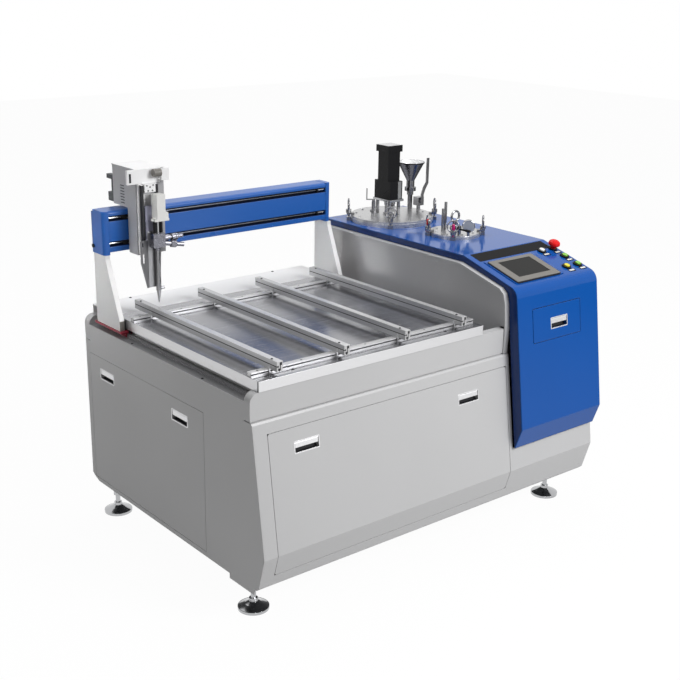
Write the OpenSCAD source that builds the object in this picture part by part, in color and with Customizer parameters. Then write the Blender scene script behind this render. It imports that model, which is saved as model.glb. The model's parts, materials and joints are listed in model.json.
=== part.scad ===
// Two-part glue dispensing machine: gantry over a work table, mixing head, tank cabinet.
// Lengths in mm. Built from the left side face (x), the front wall (y) and the floor (z).

/* [Cabinet] */
// overall width
W = 1390; // [1200:1:1600]
// depth from the front wall to the back
D = 935; // [800:1:1100]
// height of the cabinet deck that carries the tanks
deck = 890; // [800:1:1000]
// left end of the tank cabinet
xc = 1001; // [900:1:1100]
// sheet thickness
t = 3; // [1.5:0.5:5]
// levelling foot disc diameter
foot_d = 93; // [60:1:120]

/* [Work table] */
// table plate width
table_w = 855; // [700:1:870]
// table plate top height
table_z = 725; // [715:1:735]
// support rail width
rail_w = 20; // [15:1:30]
// support rail height
rail_h = 29; // [20:1:31]

/* [Gantry] */
// beam depth
beam_d = 73; // [60:1:90]
// beam height
beam_h = 129; // [110:1:130]
// leg thickness
leg_t = 16.5; // [8:0.5:17]
// guide rod diameter
rod_d = 9; // [6:1:10]

/* [Tanks] */
// large lid diameter
big_d = 306; // [250:1:306]
// small lid diameter
small_d = 182; // [140:1:182]

/* [Hidden] */
$fn = 48;
// middle of the floor area
ox = -W/2;
oy = -(D - 88)/2;
// table: left edge and middle
tx = 29;
mx = tx + table_w/2;
// lower cabinet: lean of the front, channel floor, walls around the work area
lean = 0.141;
fb = atan(lean);
floor_z = 666;
wall_low = 614;
wall_top = 694;
wall_w = 28;
wall_end = 982;
back_y = D - 31;
// frame of square tube: section, places of the uprights, heights of the rings and of the tank shelf
tube = 40;
tube_t = 3;
frame_x = [33, 480, 940];
tank_x = [1010, W - 92];
frame_y = [47.5, D - 87.5];
frame_z = 118;
upper_z = 620;
shelf_z = 560;
foot_x = [53, W - 72];
foot_y = [67.5, D - 67.5];
// tank cabinet: lean of the cover's front, slope of the control panel
cover_lean = 0.1343;
ca = atan(cover_lean);
sa = 15.66;
screen_at = [1147, 138];
switch_at = [[1310, 66], [1366, 66], [1366, 122], [1310, 182], [1366, 182]];
hatch_at = [1185, 696];
hatch_size = [229, 111];
// flush latches: recess size and places
latch = [84, 31];
hatch_latch = [76, 32];
hatch_latch_at = [10, -4];
front_latch = [[178, 513], [814, 508]];
side_latch = [[800, 515], [362, 513]];
pin_d = 2.4;
// work rails and the cross rails under them
rail_x = [93.5, 329.5, 561.5, 795.6];
cross_y = [38, 668];
cross_h = 12;
// gantry: its middle, outer face of a leg, inner face of an end cap, beam's front and underside,
// slots and guide rods
gx = mx - 2;
leg_x = 5.5;
cap_in = 26;
by = 789;
bz = 924.5;
slot_z = [941, 1021.5];
slot_h = 17;
rod_y = by + 10;
rod_z = [950, 1030.5];
shaft_play = 0.12;
// head: its place on the machine, and in its own drawing the feed screw and mixer axes
head_at = [9, 15, -4];
screw_at = [691, 1178];
nozzle_at = [128, 674];
// tanks, stirrer and funnel, seen from above
bc = [1178, 766];
sc = [1195, 451];
stirrer_at = [1172, 781];
funnel_at = [1302, 803];

function yf(z) = -9 - (605 - z)*lean;
function arcp(c, r, a, b, n) = [for (i = [0:n]) c + r*[cos(a + (b - a)*i/n), sin(a + (b - a)*i/n)]];
function rev(p) = [for (i = [len(p) - 1:-1:0]) p[i]];

// leaning front of the lower cabinet, outer face, from the top down
front_out = [[-5, 611], [-9, 605], [-63, 222], [-34, 124], [-25, 115], [-12, 112]];
front_in = [[-2, 611], [-6, 605], [-60, 222], [-31, 125.5], [-23, 118], [-12, 115]];
// tank cabinet cover, outer and inner face, from the back over the top and down the front
cover_out = concat([[D, deck], [211, deck]], arcp([8.2, 791.6], 40, 105.7, 172.5, 6),
    [[-88, 370], [-63, 300]]);
cover_in = concat([[D, deck - t], [211.4, deck - t]], arcp([8.2, 791.6], 37, 105.7, 172.5, 6),
    [[-84.8, 371], [-59.8, 300]]);
flange_in = [[D, 868], [209, 868], [28, 822], [8, 806], [0, 775], [-7, 697], [-49.7, 370], [-59.6, 300]];
rim_out = [[903, 867], [209, 867], [29, 821], [10, 806], [1, 775], [-6, 697], [-3, 612]];
rim_in = [[903, 861], [209.5, 861], [32, 815.5], [15.5, 803], [7, 775], [0, 697], [3, 612]];

// a YZ outline swept from x0 to x1
module sweep(pts, x0, x1) {
    translate([x0, 0, 0])
        rotate([90, 0, 90])
            linear_extrude(x1 - x0)
                polygon(pts);
}
// a sheet between two YZ lines
module sheet(a, b, x0, x1) {
    sweep(concat(a, rev(b)), x0, x1);
}
module box(a, b) {
    translate(a)
        cube(b - a);
}
module rod(p, d, h) {
    translate(p)
        cylinder(d = d, h = h);
}
module rodx(p, d, h) {
    translate(p)
        rotate([0, 90, 0])
            cylinder(d = d, h = h);
}
module rody(p, d, h) {
    translate(p)
        rotate([-90, 0, 0])
            cylinder(d = d, h = h);
}
// rounded bar along z, exact arcs
module slotbar(w, l, h, r) {
    linear_extrude(h) {
        square([w - 2*r, l], center = true);
        square([w, l - 2*r], center = true);
        for (i = [-1, 1], j = [-1, 1])
            translate([i*(w/2 - r), j*(l/2 - r)])
                circle(r);
    }
}
// on the leaning front of the lower cabinet: x along it, y into it, z up it
module on_front(x, z) {
    translate([x, yf(z), z])
        rotate([-fb, 0, 0])
            children();
}
// on the leaning front of the blue cover
module on_cover(x, z) {
    translate([x, -31.5 - (796.8 - z)*cover_lean, z])
        rotate([-ca, 0, 0])
            children();
}
// on the slanted control panel: y up the slope, z out of it
module on_slope(x, s) {
    translate([x, 211, deck])
        rotate([sa, 0, 0])
            translate([0, -s, 0])
                children();
}
module rest() {
    translate([ox, oy, 0])
        children();
}

// the head's own drawing set on the machine
module at_head() {
    rest()
        translate(head_at)
            children();
}

// square tube of a length, up from its low corner
module tube_bar(l) {
    difference() {
        cube([tube, tube, l]);
        translate([tube_t, tube_t, -1])
            cube([tube - 2*tube_t, tube - 2*tube_t, l + 2]);
    }
}
module tubex(x0, x1, y, z) {
    translate([x0, y, z])
        rotate([90, 0, 90])
            tube_bar(x1 - x0);
}
module tubey(x, z) {
    translate([x, frame_y[1], z])
        rotate([90, 0, 0])
            tube_bar(frame_y[1] - frame_y[0] - tube);
}
module tubez(x, y, z1) {
    translate([x, y, frame_z + tube])
        tube_bar(z1 - frame_z - tube);
}

// welded square-tube frame with its bottom tray
module base_frame() {
    color([0.25, 0.26, 0.28])
    rest() {
        for (y = frame_y) {
            tubex(10, W - 10, y, frame_z);
            tubex(10, wall_end - 2, y, upper_z);
            for (x = frame_x)
                tubez(x, y, upper_z);
            for (x = tank_x)
                tubez(x, y, 770);
        }
        for (x = frame_x, z = [frame_z, upper_z])
            tubey(x, z);
        tubey(tank_x[1], frame_z);
        // tank shelf with the drain holes
        for (x = tank_x)
            tubey(x, shelf_z);
        difference() {
            box([tank_x[0] + tube, 250, shelf_z], [tank_x[1], frame_y[1], shelf_z + 6]);
            for (c = [bc, sc])
                rod([c[0], c[1], shelf_z - 1], 18, 10);
        }
        // bottom tray, open around the feet's studs
        difference() {
            box([t, -12, frame_z - t], [W - t, back_y - 10, frame_z]);
            for (x = foot_x, y = foot_y)
                rod([x, y, frame_z - 10], 18, 20);
        }
        // upright ribs between the channel floor and the table
        for (x = [130, 455, 780]) {
            box([x, 60, floor_z], [x + t, 770, table_z - t]);
            box([x, 780, floor_z], [x + t, back_y - 6, table_z - t]);
        }
    }
}

// four levelling feet: disc, dome, stud and lock nut
module levelling_feet() {
    color([0.75, 0.76, 0.78])
    rest()
        for (x = foot_x, y = foot_y)
            translate([x, y, 0]) {
                cylinder(d = foot_d, h = 8);
                translate([0, 0, 8])
                    cylinder(d1 = foot_d - 3, d2 = 52, h = 9);
                translate([0, 0, 17])
                    cylinder(d1 = 52, d2 = 26, h = 8);
                cylinder(d = 26, h = 34);
                cylinder(d = 16, h = 118);
                translate([0, 0, 62])
                    cylinder(d = 30, h = 13, $fn = 6);
            }
}

// front skin: top strip, groove, leaning face, knee and toe; opening for the removable panel
module front_shell() {
    color([0.78, 0.78, 0.79])
    rest() {
        difference() {
            sheet(front_out, front_in, 3, xc);
            box([47, -90, 155], [987, 20, 573]);
        }
        sheet([[-52.3, 298], [-63, 222], [-34, 124], [-25, 115], [-12, 112]],
            [[-49.3, 298], [-60, 222], [-31, 125.5], [-23, 118], [-12, 115]], xc, W);
        // groove strip and inner return
        sweep([[-2, 600], [0, 600], [0, 609], [6, 609], [6, 618], [3, 618], [3, 611.5], [-2, 611.5]], 3, 979);
    }
}
// outline of a wall around the work area, seen from the front: its left end is rounded
module wall_outline() {
    difference() {
        translate([0, wall_low])
            square([wall_end, wall_top - wall_low]);
        translate([-1, floor_z])
            square([wall_w + 1, wall_w + 1]);
    }
    intersection() {
        translate([wall_w, floor_z])
            circle(wall_w);
        translate([0, floor_z])
            square(wall_w);
    }
}
// hollow walls along the front and the back, open below
module top_walls() {
    color([0.78, 0.78, 0.79])
    rest()
        for (y = [0, back_y])
            difference() {
                translate([0, y + wall_w, 0])
                    rotate([90, 0, 0])
                        linear_extrude(wall_w)
                            wall_outline();
                box([t, y + t, 600], [wall_end - t, y + wall_w - t, floor_z - t]);
                box([wall_w, y + t, 600], [wall_end - t, y + wall_w - t, wall_top - t]);
            }
}

// left side skin around the removable panel, with the toe skirt
module left_shell() {
    color([0.74, 0.74, 0.75])
    rest() {
        difference() {
            sweep([[-5, 611], [wall_w, 611], [wall_w, floor_z], [back_y, floor_z], [back_y, 611], [D - t, 611],
                [D - t, 134], [D - 11, 127], [D - 41, 115], [110, 112], [110, 96], [-13, 96], [-13, 112],
                [-25, 115], [-34, 124], [-63, 222], [-9, 605]], 0, t);
            box([-1, 231, 128], [t + 1, D - 23, 571]);
        }
        // folded rests behind the panel
        box([t, 215, 120], [t + 2, 245, 575]);
        box([t, D - 37, 126.5], [t + 2, D - 15, 575]);
    }
}

// right side sheet below the cover's flange, and back sheet with air louvres
module rear_right_panels() {
    color([0.72, 0.72, 0.73])
    rest() {
        sweep([[D - t, 134], [D - t, deck - t - 1], [212, deck - t - 1], [20, 826], [0, 800], [-54, 400],
            [-55, 298], [-49.3, 298], [-59.5, 222], [-31, 126], [-12, 118], [D - 41, 118], [D - 11, 130]],
            W - 2*t, W - t);
        difference() {
            union() {
                box([0, D - t, 134], [wall_end, D, wall_top]);
                box([wall_end, D - t, 134], [W, D, 868]);
                box([xc + t, D - t, 868], [W - t, D, deck - t]);
            }
            for (x = [180, 560, 1120], z = [220:24:412])
                box([x, D - 10, z], [x + 180, D + 1, z + 7]);
            translate([0, D, floor_z])
                rotate([90, 0, 0])
                    linear_extrude(10)
                        difference() {
                            translate([-1, 0])
                                square([wall_w + 1, wall_w + 1]);
                            translate([wall_w, 0])
                                circle(wall_w);
                        }
        }
    }
}

// floor of the open channels around the table
module channel_floor() {
    color([0.45, 0.45, 0.46])
    rest() {
        box([t, wall_w, floor_z - t], [995, back_y, floor_z]);
        for (x = [60, 480, 940])
            box([x, 60, upper_z + tube], [x + 20, 870, floor_z - t]);
    }
}

// two gantry guide rails on the channel floor
module guide_rails() {
    color([0.6, 0.62, 0.64])
    rest()
        for (x = [32, 2*gx - 46]) {
            box([x, 40, floor_z], [x + 14, 892, floor_z + 6]);
            box([x + 2, 40, floor_z + 6], [x + 12, 892, floor_z + 11]);
        }
}

// stainless table plate with folded edges, mitred at the front left corner
module table_plate() {
    color([0.8, 0.81, 0.83])
    rest() {
        box([tx, -2, table_z - t], [tx + table_w, 772, table_z]);
        difference() {
            box([tx, -2, 694.4], [tx + table_w, 772, table_z - t]);
            box([tx + 2, 0, 690], [tx + table_w - 2, 773, table_z]);
            translate([tx, -2, 690])
                rotate([0, 0, 45])
                    translate([-5, -0.6, 0])
                        cube([12, 1.2, table_z - t - 690.5]);
        }
    }
}
// painted plate behind the table
module rear_plate() {
    color([0.93, 0.93, 0.93])
    rest() {
        box([tx, 772.5, table_z - t], [tx + table_w, D - 5, table_z]);
        box([tx, D - 8, wall_top + 1], [tx + table_w, D - 5, table_z - t]);
    }
}

// front and rear slotted cross rails that the work rails slide on
module cross_rails() {
    color([0.7, 0.71, 0.73])
    rest()
        for (y = cross_y)
            difference() {
                box([33, y, table_z], [880, y + 20, table_z + cross_h]);
                for (dy = [-1, 16])
                    box([32, y + dy, table_z + 4], [881, y + dy + 5, table_z + 8]);
                box([32, y + 16.4, table_z + cross_h - 1.6], [881, y + 18.4, table_z + cross_h + 1]);
            }
}

// section of a work rail: slot in the left face, T-slot below, chamber above it
module rail_section(h) {
    difference() {
        square([rail_w, h]);
        translate([-1, 0.45*h])
            square([4, 3]);
        translate([2.5, 0.45*h - 1.6])
            square([4, 6.2]);
        translate([rail_w - 10.5, h - 11.5])
            square([8, 9]);
        translate([rail_w - 9.5, 8])
            square([3, h - 18]);
        translate([4, 2.5])
            square([9.5, 6.5]);
        translate([6.3, -1])
            square([5, 4]);
    }
}
// work support rail along y, its clips in the cross rails' slots
module t_rail(x) {
    color([0.78, 0.79, 0.8])
    rest()
        translate([x, 4, table_z + cross_h + 0.3]) {
            rotate([90, 0, 0])
                mirror([0, 0, 1])
                    linear_extrude(764)
                        rail_section(rail_h - 0.3);
            // clips that hold the rail down on the cross rails
            for (y = cross_y) {
                box([-3, y - 8, -11.5], [0, y - 4.5, 12]);
                box([-3, y - 4.5, -7.9], [0, y - 0.6, -4.7]);
            }
        }
}
module t_rail_1() {
    t_rail(rail_x[0]);
}
module t_rail_2() {
    t_rail(rail_x[1]);
}
module t_rail_3() {
    t_rail(rail_x[2]);
}
module t_rail_4() {
    t_rail(rail_x[3]);
}

// glossy sheet that closes the tank cabinet towards the work area
module inner_panel() {
    color([0.45, 0.45, 0.47])
    rest()
        sweep([[900, floor_z], [900, 861], [209.5, 861], [32, 815.5], [15.5, 803], [7, 775], [1, 697],
            [wall_w + 0.5, wall_top + 0.5], [wall_w + 0.5, floor_z]], 995, 998);
}

// light frame around the inner panel
module cabinet_rim() {
    color([0.8, 0.8, 0.81])
    rest() {
        sheet(rim_out, rim_in, wall_end + 0.3, xc);
        sweep([[wall_w, 660], [wall_w, wall_top], [-2, wall_top], [-1, 660]], wall_end + 0.3, wall_end + t);
    }
}

// blue cover of the tank cabinet, one folded sheet: deck, slanted panel, leaning front, knee
module blue_cover() {
    color([0.1, 0.28, 0.66])
    rest()
        difference() {
            sheet(cover_out, cover_in, xc, W);
            rod([bc[0], bc[1], deck - 20], big_d - 22, 40);
            rod([sc[0], sc[1], deck - 20], small_d - 18, 40);
            // screen and switches
            on_slope(screen_at[0], screen_at[1])
                box([-97, -61, -20], [97, 61, 20]);
            for (p = switch_at)
                on_slope(p[0], p[1])
                    rod([0, 0, -20], 24.4, 40);
            // hatch
            on_cover(hatch_at[0], hatch_at[1])
                translate([0, 20, 0])
                    rotate([90, 0, 0])
                        slotbar(hatch_size[0] + 3, hatch_size[1] + 3, 60, 6);
        }
}
// side flanges of the cover
module cover_flanges() {
    color([0.08, 0.2, 0.5])
    rest()
        for (x = [xc, W - t])
            sheet(cover_in, flange_in, x, x + t);
}

// operator screen: black surround, raised bezel and housing behind
module screen_frame() {
    color([0.1, 0.1, 0.11])
    rest()
        on_slope(screen_at[0], screen_at[1])
            difference() {
                union() {
                    slotbar(230, 152, 2.4, 3);
                    translate([3.5, 2, 2.4])
                        slotbar(203, 135, 3.6, 5);
                    box([-95, -59, -38], [95, 59, 0]);
                }
                translate([7.5, 3, 4])
                    slotbar(159, 94, 10, 1);
                box([-92, -56, -35], [92, 56, -2]);
            }
}
module screen_glass() {
    color([0.2, 0.22, 0.25])
    rest()
        on_slope(screen_at[0], screen_at[1])
            translate([7.5, 3, 4])
                slotbar(159, 94, 1.2, 1);
}

// switch bodies: round bezel, barrel through the panel, contact block behind
module switch_bezels() {
    color([0.08, 0.08, 0.09])
    rest()
        for (p = switch_at)
            on_slope(p[0], p[1])
                difference() {
                    union() {
                        cylinder(d = 30, h = 5);
                        rod([0, 0, -22], 24, 22.5);
                        box([-13, -15, -52], [13, 15, -22]);
                    }
                    rod([0, 0, -16], 20, 40);
                }
}
module cap(i, h) {
    rest()
        on_slope(switch_at[i][0], switch_at[i][1])
            rod([0, 0, -11], 19, h + 11);
}
module white_button() {
    color([0.93, 0.93, 0.92])
        cap(0, 8.5);
}
module green_button_1() {
    color([0.1, 0.6, 0.25])
        cap(2, 8.5);
}
module yellow_button() {
    color([0.95, 0.75, 0.1])
        cap(3, 8.5);
}
module green_button_2() {
    color([0.1, 0.6, 0.25])
        cap(4, 8.5);
}
module stop_button() {
    color([0.75, 0.08, 0.06])
    rest()
        on_slope(switch_at[1][0], switch_at[1][1])
            rotate_extrude()
                polygon([[0, -9], [8, -9], [8, 12], [16, 14], [20, 18], [20, 23], [18, 28], [13, 31.5], [0, 33]]);
}

// flush latch of recess size l: opening in its sheet, cup behind it, open to the front (-y)
module latch_hole(l) {
    box([-l[0]/2, -20, -l[1]/2], [l[0]/2, 20, l[1]/2]);
}
module latch_cup(l) {
    difference() {
        box([-l[0]/2 - 5, 2.9, -l[1]/2 - 5], [l[0]/2 + 5, 18, l[1]/2 + 5]);
        box([-l[0]/2, -1, -l[1]/2], [l[0]/2, 16, l[1]/2]);
    }
}
// pin along the paddle's top edge, seated in the walls of the recess
module latch_pin(l, d) {
    rodx([-l[0]/2 - 3, 3.2, l[1]/2 - 3.2], d, l[0] + 6);
}
// paddle: flap over the upper part of the recess, with its barrel, pin, finger lip and latch arm
module paddle(l) {
    color([0.85, 0.86, 0.88]) {
        box([-l[0]/2 + 1.5, 0.8, -1], [l[0]/2 - 1.5, 2.8, l[1]/2 - 3.2]);
        box([-l[0]/2 + 1.5, 0.8, -1], [l[0]/2 - 1.5, 6, 1]);
        rodx([-l[0]/2 + 0.6, 3.2, l[1]/2 - 3.2], 4.8, l[0] - 1.2);
        latch_pin(l, pin_d);
        box([-6, 3.2, l[1]/2 - 5.2], [6, 11, l[1]/2 - 3.4]);
    }
}

// removable front panel with two flush latches
module on_front_latches() {
    for (p = front_latch)
        on_front(p[0], p[1])
            children();
}
module front_panel() {
    color([0.79, 0.79, 0.8])
    rest()
        difference() {
            union() {
                difference() {
                    intersection() {
                        sheet(front_out, front_in, 48.5, 985.5);
                        translate([517, 40, 364])
                            rotate([90, 0, 0])
                                slotbar(937, 415, 160, 8);
                    }
                    on_front_latches()
                        latch_hole(latch);
                }
                on_front_latches()
                    latch_cup(latch);
            }
            on_front_latches()
                latch_pin(latch, pin_d + 0.1);
        }
}
module front_paddle_1() {
    rest()
        on_front(front_latch[0][0], front_latch[0][1])
            paddle(latch);
}
module front_paddle_2() {
    rest()
        on_front(front_latch[1][0], front_latch[1][1])
            paddle(latch);
}

// on the left side: x back to front, y into the cabinet
module on_left(p) {
    translate([0, p[0], p[1]])
        rotate([0, 0, -90])
            children();
}
module on_left_latches() {
    for (p = side_latch)
        on_left(p)
            children();
}
// removable side panel with two flush latches
module side_panel() {
    color([0.74, 0.74, 0.75])
    rest()
        difference() {
            union() {
                difference() {
                    box([0, 232.5, 129.5], [t, D - 24.5, 569.5]);
                    on_left_latches()
                        latch_hole(latch);
                }
                on_left_latches()
                    latch_cup(latch);
            }
            on_left_latches()
                latch_pin(latch, pin_d + 0.1);
        }
}
module side_paddle_1() {
    rest()
        on_left(side_latch[0])
            paddle(latch);
}
module side_paddle_2() {
    rest()
        on_left(side_latch[1])
            paddle(latch);
}

// hatch in the front of the cover
module on_hatch_latch() {
    translate([hatch_latch_at[0], 0, hatch_latch_at[1]])
        children();
}
module hatch() {
    color([0.1, 0.28, 0.66])
    rest()
        on_cover(hatch_at[0], hatch_at[1])
            difference() {
                union() {
                    difference() {
                        translate([0, t, 0])
                            rotate([90, 0, 0])
                                slotbar(hatch_size[0], hatch_size[1], t, 5);
                        on_hatch_latch()
                            latch_hole(hatch_latch);
                    }
                    on_hatch_latch()
                        latch_cup(hatch_latch);
                }
                on_hatch_latch()
                    latch_pin(hatch_latch, pin_d + 0.1);
            }
}
module hatch_paddle() {
    rest()
        on_cover(hatch_at[0], hatch_at[1])
            on_hatch_latch()
                paddle(hatch_latch);
}

// both sides about the gantry's middle
module pair() {
    children();
    translate([2*gx, 0, 0])
        mirror([1, 0, 0])
            children();
}
// tapered gantry legs
module gantry_legs() {
    color([0.9, 0.9, 0.9])
    rest()
        pair()
            sweep([[710, 690], [856, 690], [856, 916], [785, 916], [784, 905], [710, 722]], leg_x, leg_x + leg_t);
}
// foot plates under the legs and the guide shoes on the rails
module foot_plates() {
    color([0.7, 0.12, 0.2])
    rest()
        pair()
            difference() {
                union() {
                    box([2, 698, 684], [40, 866, 690]);
                    box([28, 714, 667], [50, 764, 684]);
                    box([28, 804, 667], [50, 854, 684]);
                }
                box([31.4, 690, 660], [46.6, 880, 672.4]);
                box([33.4, 690, 672.3], [44.6, 880, 677.5]);
            }
}
// beam: boxed profile with two deep slots in its front
module beam() {
    color([0.14, 0.33, 0.68])
    rest()
        difference() {
            sweep([[by, bz], [by + beam_d, bz], [by + beam_d, bz + beam_h - 5], [by + beam_d - 5, bz + beam_h],
                [by + 10, bz + beam_h], [by + 3, bz + beam_h - 2], [by, bz + beam_h - 7]], cap_in, 2*gx - cap_in);
            for (z = slot_z)
                box([cap_in - 1, by - 1, z], [2*gx - cap_in + 1, by + 22, z + slot_h]);
            // hollows behind the front wall and in the back
            box([cap_in + 4, by + 4, slot_z[0] + slot_h + 5], [2*gx - cap_in - 4, by + 22, slot_z[1] - 5]);
            box([cap_in + 4, by + 26, bz + 6], [2*gx - cap_in - 4, by + beam_d - 6, bz + beam_h - 8]);
        }
}
// end caps of the beam, their front corner rounded, with a knob at the back
module end_caps() {
    color([0.14, 0.33, 0.68])
    rest()
        pair() {
            difference() {
                union() {
                    box([5, 800, 916], [cap_in, 862, 1054]);
                    box([17, 788, 916], [cap_in, 800, 1054]);
                    intersection() {
                        rod([17, 800, 916], 24, 138);
                        box([0, 780, 916], [20, 805, 1054]);
                    }
                }
                box([0, 852, 1047], [30, 870, 1060]);
            }
            rodx([0.5, 853, 938], 12, 5);
        }
}
// hardened rods that the head's carriage runs on
module guide_rods() {
    color([0.8, 0.82, 0.84])
    rest()
        for (z = rod_z)
            rodx([cap_in, rod_y, z], rod_d, 2*(gx - cap_in));
}

// carriage cover: sheet housing over and in front of the beam, and the slide shoes on the rods
module housing() {
    color([0.72, 0.72, 0.73])
    at_head() {
        difference() {
            sweep([[715, 922], [768, 922], [768, 1064], [856, 1064], [856, 1187], [715, 1187]], 82, 182);
            sweep([[717, 924], [766, 924], [766, 1066], [854, 1066], [854, 1185], [717, 1185]], 84, 180);
            for (i = [0:6])
                box([80, 785, 1073 + 9*i], [90, 812, 1076.5 + 9*i]);
            box([84, 760, 940], [180, 780, 1052]);
        }
        // top plate, proud of the walls
        box([80, 715, 1187], [184, 858, 1190]);
        // carriage plate and shoes around the rods
        difference() {
            union() {
                box([84, 755, 936], [180, 766, 1056]);
                for (x = [90, 140], z = rod_z)
                    translate([x, rod_y, z] - head_at)
                        box([9, -18, -7], [43, 8, 7]);
            }
            for (z = rod_z)
                translate([80, rod_y, z] - head_at)
                    rodx([0, 0, 0], rod_d + shaft_play, 120);
        }
    }
}
// dark bracket for the cable chain at the back of the housing
module cable_bracket() {
    color([0.2, 0.2, 0.21])
    at_head() {
        box([84, 856, 1068], [100, 893, 1096]);
        box([84, 858, 1096], [100, 870, 1152]);
        box([84, 870, 1138], [100, 900, 1152]);
    }
}
// vertical axis: back plate, two black rails, top plate and screw mount
module z_frame() {
    color([0.85, 0.85, 0.86])
    at_head() {
        difference() {
            box([86, 705, 926], [150, 715, 1146]);
            box([108, 702, 960], [128, 712, 1110]);
        }
        box([90, 693, 950], [96, 705, 1143]);
        box([142, 693, 950], [148, 705, 1143]);
        difference() {
            translate([0, 715, 0])
                rotate([90, 0, 0])
                    linear_extrude(11)
                        polygon([[50, 1146], [162, 1146], [162, 1153], [157.5, 1153], [157.5, 1190], [50, 1190]]);
            box([55, 703, 1152], [62, 708, 1180]);
        }
        box([100, 690, 1120], [138, 705, 1147]);
    }
}
module z_motor() {
    color([0.82, 0.82, 0.83])
    at_head() {
        difference() {
            box([157.5, 686, 1153.5], [184.5, 714.5, 1190]);
            // socket for the connector in the top
            box([161, 692, 1187], [171, 704, 1191]);
        }
        rodx([150.5, screw_at[0], screw_at[1]], 10, 8);
    }
}
module z_coupling() {
    color([0.2, 0.2, 0.21])
    at_head()
        translate([131.5, screw_at[0], screw_at[1]])
            difference() {
                rodx([0, 0, 0], 24.4, 25.2);
                rodx([18.5, 0, 0], 10 + shaft_play, 10);
                for (a = [0:20:340])
                    rotate([a, 0, 0])
                        box([3, -0.8, 11.3], [22.2, 0.8, 14]);
            }
}
// slide plate that carries the valve
module z_slider() {
    color([0.83, 0.84, 0.86])
    at_head() {
        box([99, 689, 950], [139, 700, 1078]);
        box([99, 685.5, 950], [139, 689, 1030]);
    }
}
// air actuator with its flange and guide stems
module actuator() {
    color([0.9, 0.89, 0.85])
    at_head() {
        box([121, 656, 1040], [151, 689, 1116]);
        box([113, 656, 1033], [163, 683, 1040]);
        box([151, 660, 1040], [163, 680, 1058]);
        for (x = [118, 140])
            rod([x, 669, 996], 10, 37);
        rod([129, 669, 996], 8, 37);
    }
}
// metering valve body with its inlet fittings
module valve_block() {
    color([0.75, 0.76, 0.8])
    at_head() {
        difference() {
            union() {
                box([105, 655, 952], [147, 683, 996]);
                rod([nozzle_at[0], nozzle_at[1], 940], 18, 12);
            }
            rod([nozzle_at[0], nozzle_at[1], 930], 11, 20);
        }
        rodx([147, 672, 976], 20, 18);
        rodx([165, 672, 976], 14, 12);
        rodx([177, 672, 976], 22, 20);
        rodx([197, 672, 976], 12, 20);
        translate([147, 668, 962])
            rotate([0, 100, -8]) {
                cylinder(d = 16, h = 24);
                translate([0, 0, 24])
                    cylinder(d = 24, h = 18, $fn = 6);
                translate([0, 0, 42])
                    cylinder(d = 14, h = 26);
            }
    }
}
// tapered guard behind the mixer, one sheet folded forward along both upright lines
guard_fold = [100, 138];
guard_t = 2.5;
// sheet in the XZ plane, from the fold line outward, turned forward about that line
module guard_wing(x, turn, outline) {
    translate([x, 685.5, 0])
        rotate([0, 0, turn])
            rotate([90, 0, 0])
                linear_extrude(guard_t)
                    difference() {
                        polygon(outline);
                        children();
                    }
}
module guard() {
    color([0.78, 0.79, 0.8])
    at_head() {
        guard_wing(guard_fold[0], 0, [[-0.5, 822], [39, 822], [38, 1000], [0, 1000]]);
        // left wing with its long rounded slot
        guard_wing(guard_fold[0], 22, [[0.9, 822], [0.9, 975], [-37, 975], [-37, 908], [-9, 822]]) {
            translate([-23, 907])
                circle(4);
            translate([-25, 966])
                circle(4);
            polygon([[-27, 907], [-19, 907], [-21, 966], [-29, 966]]);
        }
        guard_wing(guard_fold[1], -35, [[-1.4, 822], [-1.4, 940], [9, 940], [4.5, 860], [2, 822]]);
    }
}
// static mixer tube, steel needle and its knob
module nozzle() {
    color([0.8, 0.81, 0.83])
    at_head()
        translate([nozzle_at[0], nozzle_at[1], 0]) {
            difference() {
                union() {
                    rod([0, 0, 812], 16, 128);
                    translate([0, 0, 772])
                        cylinder(d1 = 3, d2 = 14.5, h = 40);
                }
                rod([0, 0, 816], 12, 130);
                rod([0, 0, 760], 1.2, 60);
            }
            rodx([6, 0, 818], 9, 14);
        }
}

// tank: drum hanging through the deck by its rim, with its drain
module tank(c, d, z, rim, drain) {
    translate([c[0], c[1], 0])
        difference() {
            union() {
                rod([0, 0, z], d - 22, deck + 2 - z);
                rod([0, 0, deck], d - 1, rim);
                rod([0, 0, 566], drain, z - 540);
            }
            rod([0, 0, z + 4], d - 30, 330);
            rod([0, 0, 560], drain - 12, 120);
        }
}
module tanks() {
    color([0.7, 0.71, 0.73])
    rest() {
        tank(bc, big_d - 4, 600, 5, 40);
        tank(sc, small_d, 640, 4, 30);
    }
}
module tank_lids() {
    color([0.8, 0.81, 0.83])
    rest() {
        rod([sc[0], sc[1], deck + 4], small_d, 6);
        rod([sc[0], sc[1], deck + 10], small_d - 4, 3);
        difference() {
            union() {
                rod([bc[0], bc[1], deck + 5], big_d, 9);
                rod([bc[0], bc[1], deck + 14], big_d - 4, 7);
                rod([stirrer_at[0], stirrer_at[1], deck + 21], 34, 6);
            }
            rod([stirrer_at[0], stirrer_at[1], 880], 16 + shaft_play, 60);
            rod([funnel_at[0], funnel_at[1], 880], 18, 60);
            for (a = [0:45:315])
                rotate_about(bc, a)
                    rod([big_d/2 - 9, 0, deck + 16], 7, 20);
        }
    }
}
module rotate_about(c, a) {
    translate([c[0], c[1], 0])
        rotate([0, 0, a])
            children();
}
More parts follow.
